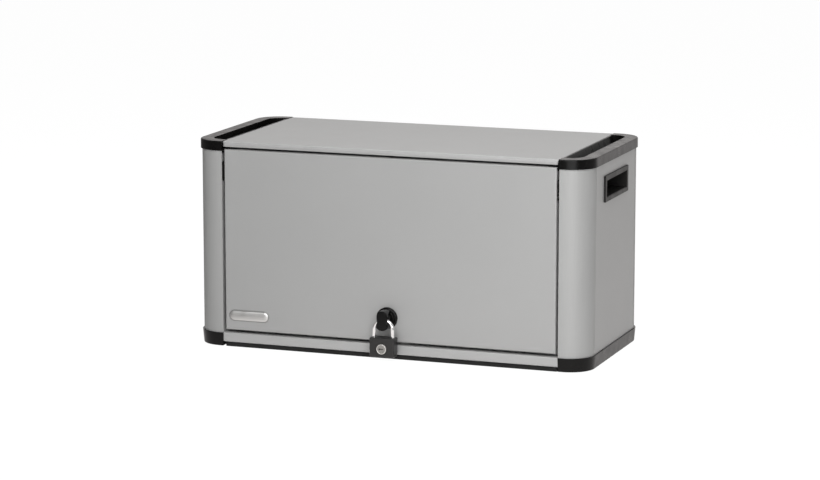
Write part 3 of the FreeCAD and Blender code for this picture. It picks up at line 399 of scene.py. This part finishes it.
def paint_trough_light(material):
    # The leaning wall inside each trough is matt, and painted paler than the glossy rim as
    # painted light
    tree = material.node_tree
    shader = next(node for node in tree.nodes if node.type == "BSDF_PRINCIPLED")
    place = tree.nodes.new("ShaderNodeTexCoord").outputs["Object"]
    wall = fading(tree, along(tree, place, RIGHTWARDS), TROUGH_WALL_X, TROUGH_FADE_X)
    length = fading(tree, along(tree, place, BACKWARDS), TROUGH_END_Y, TROUGH_FADE_Y)
    inside = product(tree, wall, length)
    glossy = shader.inputs["Base Color"].links[0].from_socket
    blend = tree.nodes.new("ShaderNodeMix")
    blend.data_type = "RGBA"
    blend.inputs["B"].default_value = (*TROUGH_PAINTED_LIGHT, 1.0)
    tree.links.new(inside, blend.inputs["Factor"])
    tree.links.new(glossy, blend.inputs["A"])
    tree.links.new(blend.outputs["Result"], shader.inputs["Base Color"])
    shine = ranged(tree, inside, 0.0, 1.0, CAP_LOOK["specular"], TROUGH_SPECULAR)
    tree.links.new(shine, shader.inputs["Specular IOR Level"])


def bare_metal(name, colour, roughness, stretch=EVEN, depth=0.00001):
    # Plated or plain metal with fine lines, rubbed in places
    material, shader = new_finish(name, metallic=1.0, roughness=roughness)
    lines = noise(material, scale=1800.0, detail=2.0, stretch=stretch)
    tinted(material, shader, colour, spread(material, lines, low=0.88, high=1.08))
    bumped(material, shader, lines, depth)
    rub = noise(material, scale=120.0, detail=3.0)
    roughened(material, shader, rub, low=roughness - 0.05, high=roughness + 0.08)
    return material


def plug_nickel():
    # Worn grey nickel in the plug's dish, and black painted shade where the keyway goes in
    material, shader = new_finish("plug_nickel", metallic=0.9, roughness=0.36)
    face_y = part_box("padlock_plug")[0][1]
    tree = material.node_tree
    place = tree.nodes.new("ShaderNodeTexCoord").outputs["Object"]
    depth = along(tree, place, BACKWARDS)
    # Painted shade: the colour darkens with depth into the keyway
    keyway_shade = ranged(
        tree, depth, face_y + KEYWAY_SHADE_DEPTH, face_y + 2 * KEYWAY_SHADE_DEPTH, 1.0, KEYWAY_SHADE_LEVEL)
    grain = noise(material, scale=900.0, detail=3.0)
    worn = spread(material, grain, low=0.75, high=1.15)
    tinted(material, shader, (0.34, 0.335, 0.32), product(tree, keyway_shade, worn))
    bumped(material, shader, grain, depth=0.00002)
    return material


# ---- Finishes on the solids -----------------------------------------------------------------

def dress(material, *names):
    for name in names:
        slots = NODES[name].data.materials
        slots.clear()
        slots.append(material)


def both(name):
    return name + "_left", name + "_right"


def dress_shell():
    shell = silver_paint("silver_powder_coat", colour=(0.372, 0.372, 0.369), roughness=0.46)
    dress(shell, "door_panel", "top_panel", "back_panel", *both("side_panel"))
    # The base pan wears a paler copy of the powder coat: painted light, for the floor's bounce
    # on it
    light = silver_paint("powder_coat_with_painted_bounce", colour=(0.415, 0.415, 0.412), roughness=0.44)
    dress(light, "base_pan")
    column = satin_column("satin_column", colour=(0.365, 0.365, 0.361))
    dress(column, *both("column_front"), *both("column_rear"))
    inner = silver_paint("inner_grey_paint", colour=(0.43, 0.43, 0.426), roughness=0.55)
    dress(inner, "door_liner", "door_stiffener", "top_stiffeners", "rack_tray", "lock_strike")
    dress(inner, *both("side_liner"))


def dress_mouldings():
    dress(moulded_black("moulded_caps", **CAP_LOOK), *both("bottom_cap"), *both("hinge_block"))
    top_caps = moulded_black("moulded_top_caps", **CAP_LOOK)
    paint_trough_light(top_caps)
    dress(top_caps, *both("top_cap"))
    cups = moulded_black(
        "moulded_cups", colour=(0.018, 0.0175, 0.017), roughness=0.38,
        grain=1400.0, depth=0.00002, specular=0.13)
    dress(cups, *both("handle_cup"))
    dividers = moulded_black(
        "divider_sheet", colour=(0.095, 0.096, 0.10), roughness=0.5, grain=900.0, depth=0.00002)
    dress(dividers, "rack_dividers")
    rubber = moulded_black(
        "black_rubber", colour=(0.008, 0.008, 0.008), roughness=0.75, grain=700.0, depth=0.00005)
    dress(rubber, "skid_frame", "door_bumpers")


def dress_lock(zinc):
    lock = moulded_black(
        "black_lock_enamel", colour=(0.0035, 0.0035, 0.0033), roughness=0.13,
        grain=500.0, depth=0.000004, specular=0.18)
    dress(lock, "lock_housing", "hasp_knob")
    dress(zinc, "lock_nut", "lock_cam", "cam_nut")
    dress(zinc, "back_screws", "base_screws", *both("hinge_pin"))
    badge = bare_metal(
        "brushed_badge", colour=(0.38, 0.38, 0.375), roughness=0.50, stretch=BRUSHED_ALONG_X)
    dress(badge, "badge_plate")
    charcoal = moulded_black(
        "charcoal_enamel", colour=(0.018, 0.0176, 0.0172), roughness=0.36,
        grain=1100.0, depth=0.00003, specular=0.4)
    dress(charcoal, "padlock_body")
    chrome = bare_metal(
        "bright_chrome", colour=(0.92, 0.92, 0.92), roughness=0.10, depth=0.000002)
    dress(chrome, "padlock_shackle")
    dress(plug_nickel(), "padlock_plug")


# ---- Modelling tools ------------------------------------------------------------------------

def placed(name):
    # Names the new primitive and moves its place into its mesh
    piece = bpy.context.object
    piece.name = name
    bpy.ops.object.transform_apply(location=True, rotation=True, scale=True)
    return piece


def block(name, low, high):
    centre = [(a + b) / 2 for a, b in zip(low, high)]
    size = [b - a for a, b in zip(low, high)]
    bpy.ops.mesh.primitive_cube_add(size=1.0, location=centre, scale=size)
    return placed(name)


def disc(name, centre, radius, height, sides, turn=(0.0, 0.0, 0.0)):
    # A round slug with its middle at centre; unturned, it stands along Z
    bpy.ops.mesh.primitive_cylinder_add(
        vertices=sides, radius=radius, depth=height, location=centre, rotation=turn)
    return placed(name)


def edit_only(piece, kind, wanted):
    # Edit mode, with only the wanted faces or edges selected
    bpy.ops.object.mode_set(mode="EDIT")
    bpy.ops.mesh.select_mode(type=kind)
    bpy.ops.mesh.select_all(action="DESELECT")
    bpy.ops.object.mode_set(mode="OBJECT")
    for part in piece.data.polygons if kind == "FACE" else piece.data.edges:
        part.select = wanted(part)
    bpy.ops.object.mode_set(mode="EDIT")


def edit_faces(piece, direction, either_way=False):
    # Edit mode, with only the faces that look in a direction selected
    def looks_there(face):
        cosine = face.normal.dot(Vector(direction))
        return (abs(cosine) if either_way else cosine) > FACE_KEEPS_TO
    edit_only(piece, "FACE", looks_there)


def edit_edges(piece, direction):
    # Edit mode, with only the edges along a direction selected
    def runs_there(edge):
        first, second = (piece.data.vertices[index].co for index in edge.vertices)
        cosine = (second - first).normalized().dot(Vector(direction))
        return abs(cosine) > EDGE_KEEPS_TO
    edit_only(piece, "EDGE", runs_there)


def inset_steps(steps):
    # Steps of the selected faces, each inside the one before
    for inwards, rise in steps:
        bpy.ops.mesh.inset(thickness=inwards, depth=rise)


def finished(piece, body, material, edge):
    # Small rounded edges, smooth shading, its body and its finish
    bpy.ops.object.mode_set(mode="OBJECT")
    bevel = piece.modifiers.new("edges", "BEVEL")
    bevel.width = edge
    bevel.segments = EDGE_SEGMENTS
    bevel.limit_method = "ANGLE"
    bpy.ops.object.modifier_apply(modifier="edges")
    bpy.ops.object.shade_smooth_by_angle(angle=SMOOTH_ANGLE)
    piece.data.materials.clear()
    piece.data.materials.append(material)
    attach(piece, body)


def own_copy(piece, name, shift):
    # Another of the same, with its own mesh, moved by shift
    copy = piece.copy()
    copy.data = piece.data.copy()
    copy.name = name
    bpy.context.scene.collection.objects.link(copy)
    bpy.ops.object.select_all(action="DESELECT")
    copy.select_set(True)
    bpy.context.view_layer.objects.active = copy
    bpy.ops.transform.translate(value=shift)
    bpy.ops.object.transform_apply(location=True, rotation=False, scale=False)
    return copy


# ---- Pieces ---------------------------------------------------------------------------------

def badge_crown():
    # The badge's blank face, crowned inside the rim of its plate
    low, high = (Vector(corner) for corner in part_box("badge_plate"))
    half_height = (high.z - low.z) / 2 - BADGE_RIM
    piece = block(
        "badge_crown",
        (low.x + BADGE_RIM, low.y - CROWN_FOOT, low.z + BADGE_RIM),
        (high.x - BADGE_RIM, low.y + BADGE_SINK, high.z - BADGE_RIM),
    )
    edit_edges(piece, BACKWARDS)
    bpy.ops.mesh.bevel(offset=half_height * CROWN_ROUNDING, segments=CROWN_SEGMENTS)
    bpy.ops.mesh.select_all(action="SELECT")
    bpy.ops.mesh.remove_doubles(threshold=MERGE_DISTANCE)
    edit_faces(piece, FRONTWARDS)
    inset_steps(CROWN_STEPS)
    material = bare_metal(
        "badge_silver", colour=(0.70, 0.70, 0.69), roughness=0.44,
        stretch=BRUSHED_ALONG_X, depth=0.000004)
    finished(piece, "door", material, CROWN_EDGE)


def plug_ring():
    # Bright ring about the plug's dish
    low, high = (Vector(corner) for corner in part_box("padlock_plug"))
    centre = ((low.x + high.x) / 2, low.y - RING_T / 2 + RING_SINK, (low.z + high.z) / 2)
    piece = disc("plug_ring", centre, RING_R, RING_T, RING_SIDES, (QUARTER_TURN, 0.0, 0.0))
    edit_faces(piece, BACKWARDS, either_way=True)
    bpy.ops.mesh.inset(thickness=RING_W)
    bpy.ops.mesh.bridge_edge_loops()
    material = bare_metal(
        "ring_nickel", colour=(0.86, 0.85, 0.83), roughness=0.22, depth=0.000004)
    finished(piece, "plug", material, RING_EDGE)


def strike_rivets(material):
    # Two rivets that hold the strike's foot to the floor
    low, high = (Vector(corner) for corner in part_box("lock_strike"))
    centre = (-RIVET_X, high.y - RIVET_IN, low.z + STRIKE_FOOT_T + RIVET_H / 2)
    piece = disc("strike_rivet_left", centre, RIVET_R, RIVET_H, RIVET_SIDES)
    edit_faces(piece, UPWARDS)
    inset_steps(RIVET_STEPS)
    finished(piece, "cabinet", material, RIVET_EDGE)
    other = own_copy(piece, "strike_rivet_right", (2 * RIVET_X, 0.0, 0.0))
    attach(other, "cabinet")


def bay_pads():
    # A dished foam pad on the floor of each phone bay
    low, high = (Vector(corner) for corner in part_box("rack_tray"))
    pitch = (high.x - low.x) / BAYS
    floor_z = low.z + RACK_SHEET
    first = low.x + pitch / 2
    piece = block(
        "bay_pad_01",
        (first - PAD_W / 2, low.y + PAD_IN, floor_z),
        (first + PAD_W / 2, high.y - PAD_IN, floor_z + PAD_T),
    )
    edit_edges(piece, UPWARDS)
    bpy.ops.mesh.bevel(offset=PAD_CORNER, segments=PAD_CORNER_SEGMENTS)
    edit_faces(piece, UPWARDS)
    inset_steps(PAD_STEPS)
    foam = moulded_black(
        "bay_foam", colour=(0.030, 0.031, 0.033), roughness=0.85,
        grain=1600.0, depth=0.00015, specular=0.2)
    finished(piece, "cabinet", foam, PAD_EDGE)
    for bay in range(1, BAYS):
        pad = own_copy(piece, f"bay_pad_{bay + 1:02d}", (pitch * bay, 0.0, 0.0))
        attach(pad, "cabinet")


# ---- Making it ------------------------------------------------------------------------------

add_camera()
add_world()
add_floor()
for softbox in SOFTBOXES:
    add_softbox(*softbox)

dress_shell()
dress_mouldings()
zinc_plate = bare_metal("zinc_plate", colour=(0.56, 0.56, 0.55), roughness=0.34)
dress_lock(zinc_plate)
badge_crown()
plug_ring()
strike_rivets(zinc_plate)
bay_pads()

bpy.context.scene.view_settings.view_transform = "Standard"
